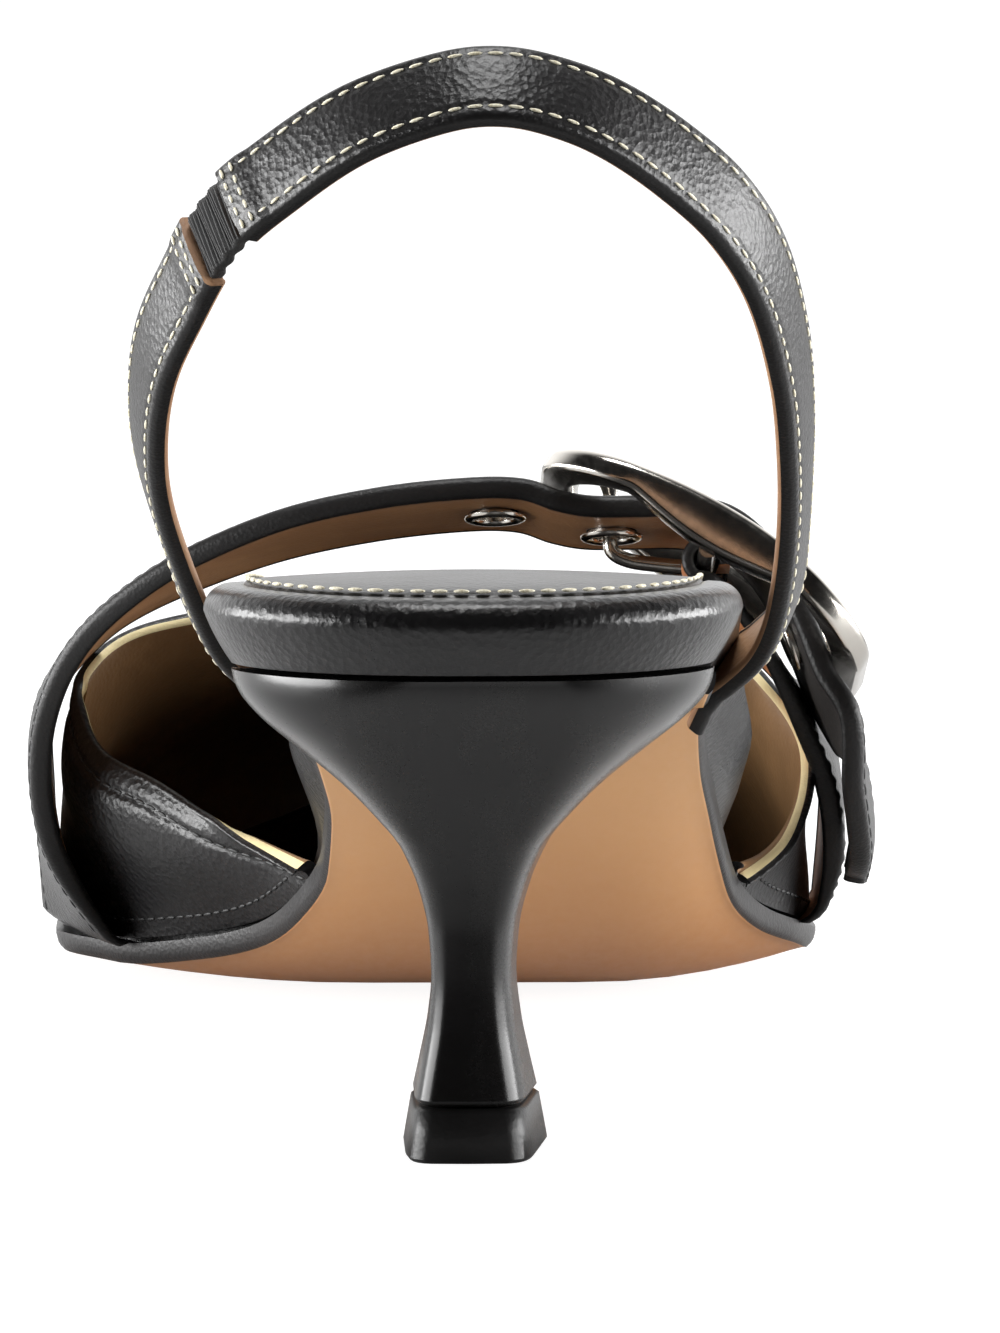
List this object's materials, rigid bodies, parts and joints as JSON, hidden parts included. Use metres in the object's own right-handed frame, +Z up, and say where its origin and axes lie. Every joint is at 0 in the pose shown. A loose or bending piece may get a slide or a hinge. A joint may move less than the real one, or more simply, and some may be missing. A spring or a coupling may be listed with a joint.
{
  "type": "slingback pump",
  "caption": "Pointed slingback pump on a flared spool heel, with a buckled belt over the instep, a padded footbed and a heel strap with an elastic piece",
  "frame": {"origin": "centre of the heel tip's bottom face, on the floor", "axes": "+Z up, +Y from the heel to the toe, +X to the shoe's lateral (outer) side"},
  "size_m": [0.0886, 0.243, 0.1102],
  "materials": {
    "sole_leather": "satin",
    "black_leather": "satin",
    "black_lacquer": "gloss",
    "tip_rubber": "matte",
    "elastic": "matte",
    "nickel": "polished"
  },
  "bodies": {
    "root": {"outsole": "sole_leather", "footbed": "black_leather", "upper": "black_leather", "heel": "black_lacquer", "heel_tip": "tip_rubber", "instep_belt": "black_leather", "anchor_strap": "black_leather", "buckle": "nickel", "buckle_prong": "nickel", "eyelet_1": "nickel", "eyelet_2": "nickel", "eyelet_3": "nickel", "sling_short": "black_leather", "sling_long": "black_leather", "elastic_gore": "elastic"}
  },
  "joints": []
}
